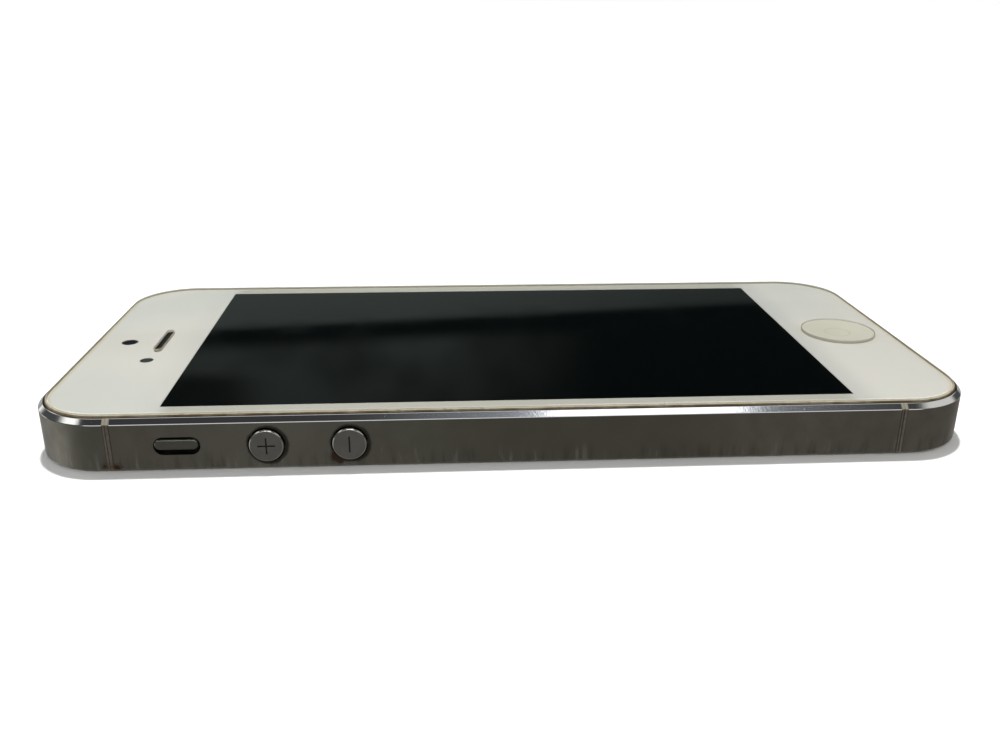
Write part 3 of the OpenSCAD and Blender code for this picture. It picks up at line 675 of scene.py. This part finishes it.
def floor():
    """A white floor that can't be seen from below and that lets light up to the back of the phone."""
    s = Shader("white_floor")
    s.set(Base_Color=(0.9, 0.9, 0.9), Roughness=0.9, Specular_IOR_Level=0)
    s.through(s.band(s.node("NewGeometry").outputs["Backfacing"], 0, 1, 1, 0))
    mesh = bpy.data.meshes.new("floor")
    reach = 30
    corners = [(x * reach, y * reach, 0) for x, y in ((-1, -1), (1, -1), (1, 1), (-1, 1))]
    mesh.from_pydata(corners, [], [(0, 1, 2, 3)])
    mesh.materials.append(s.material)
    piece = bpy.data.objects.new("floor", mesh)
    bpy.context.scene.collection.objects.link(piece)
    piece.location.z = cad_box[0].z - 0.01 * MM
    piece.visible_glossy = False
    piece.visible_diffuse = False
    piece.visible_shadow = False


def sun(name, turn, power, spread):
    """A distant light that is never seen in a reflection. turn and spread are in degrees."""
    data = bpy.data.lights.new(name, "SUN")
    data.energy = power
    data.angle = math.radians(spread)
    piece = bpy.data.objects.new(name, data)
    piece.rotation_euler = [math.radians(a) for a in turn]
    piece.visible_glossy = False
    bpy.context.scene.collection.objects.link(piece)


# Cards in the sky that polished surfaces mirror: ranges of the direction's x, y and z, how soft the card's
# edges are, and its colour. A later card covers an earlier one.
CARDS = (
    ((-2, 2), (-2, -0.75), (0.2, 0.5), 0.04, (0.9, 0.9, 0.9)),
    ((-2, 2), (0.15, 0.6), (0.8, 0.97), 0.04, (0.7, 0.7, 0.68)),
    ((-2, 2), (-0.6, -0.22), (0.78, 2), 0.02, (0.052, 0.05, 0.05)),
    ((0.01, 0.36), (-0.6, -0.22), (0.78, 2), 0.12, (0.3, 0.32, 0.34)),
    ((0.108, 0.305), (-0.6, -0.22), (0.78, 2), 0.006, (2.2, 2.25, 2.3)),
    ((-0.8, -0.6), (-0.5, 0.9), (0.05, 0.78), 0.05, (1.5, 1.47, 1.4)),
    ((0.52, 2), (-0.5, 0.9), (0.3, 0.76), 0.07, (0.8, 0.78, 0.74)),
    ((-0.25, 0.2), (-0.8, -0.55), (0.55, 0.75), 0.04, (4.0, 4.0, 3.9)),
)


def world():
    """White to the camera. Surfaces mirror a dim sky with its cards, a pale ground, and two soft grey bands
    low in the sky beyond the phone, which the screen shows.
    """
    made = bpy.data.worlds.new("studio")
    bpy.context.scene.world = made
    made.use_nodes = True
    n = Nodes(made.node_tree)
    n.tree.nodes.clear()
    direction = n.node("TexCoord").outputs["Generated"]
    x, y, z = n.split(direction)
    sky = (0.075, 0.08, 0.078)
    for x_range, y_range, z_range, soft, colour in CARDS:
        mask = n.math("MULTIPLY", n.window(x, *x_range, soft), n.window(y, *y_range, soft))
        mask = n.math("MULTIPLY", mask, n.window(z, *z_range, soft))
        sky = n.mix(mask, sky, colour)
    up = n.math("DIVIDE", z, y, clamp=False)
    side = n.math("DIVIDE", x, y, clamp=False)
    tilted = n.math("ADD", up, n.math("MULTIPLY", side, 0.038, clamp=False), clamp=False)
    high_band = n.math("MULTIPLY", n.band(tilted, 0.326, 0.316), n.band(side, -0.05, 0.42, 1, 0.45))
    blotch = n.band(n.noise_of(direction, 8, 2), 0.35, 0.65, 0.3, 1.3)
    low_band = n.math("MULTIPLY", n.band(tilted, 0.333, 0.352), n.band(side, -0.02, 0.19, 0.5, 0))
    low_left = n.math("MULTIPLY", n.band(up, 0.37, 0.395), n.band(side, -0.16, -0.26))
    low_band = n.math("MULTIPLY", low_band, n.band(low_left, 0, 1, 1, 0.15))
    low_band = n.math("MULTIPLY", low_band, blotch)
    behind = n.math("MAXIMUM", high_band, low_band)
    behind = n.mix(behind, (0.001, 0.004, 0.0045), (0.13, 0.155, 0.143))
    behind_mask = n.math("MULTIPLY", n.band(y, 0.55, 0.7), n.window(z, 0.12, 0.6, 0.04))
    sky = n.mix(behind_mask, sky, behind)
    ends = n.math("MAXIMUM", n.band(x, -0.76, -0.93), n.band(y, 0.25, 0.6, 0, 0.45))
    ends = n.math("MULTIPLY", ends, n.band(z, -0.72, -0.5))
    ground = n.mix(ends, (0.205, 0.2, 0.19), (0.75, 0.74, 0.72))
    lit = n.mix(n.band(z, -0.02, 0.02), ground, sky)
    seen = n.mix(n.node("LightPath").outputs["Is Camera Ray"], lit, (1, 1, 1))
    background = n.node("Background", {"Color": seen}).outputs[0]
    n.tree.links.new(background, n.node("OutputWorld").inputs[0])


def camera():
    data = bpy.data.cameras.new("camera")
    data.lens = CAMERA_LENS
    data.sensor_width = 36
    data.clip_start = 0.005
    data.clip_end = 100
    piece = bpy.data.objects.new("camera", data)
    piece.location = CAMERA_PLACE
    piece.rotation_euler = CAMERA_TURN
    bpy.context.scene.collection.objects.link(piece)
    bpy.context.scene.camera = piece
    bpy.context.scene.view_settings.view_transform = "Standard"


camera()
world()
sun("soft_fill", (0, 0, 0), 0.22, 120)
sun("key", (-17.5, 0, 0), 3.1, 4)
sun("under_fill", (180, 0, 0), 1.6, 100)
floor()
front_glass()
body_shells()
side_controls()
others()
lens("rear_lens", "camera_lens_barrel", 1.4, 0.3, 0.35, -1, "camera_barrel")
lens("front_lens", "front_camera", 0.75, 0.12, 0.16, 1, "root")
dock_contacts()
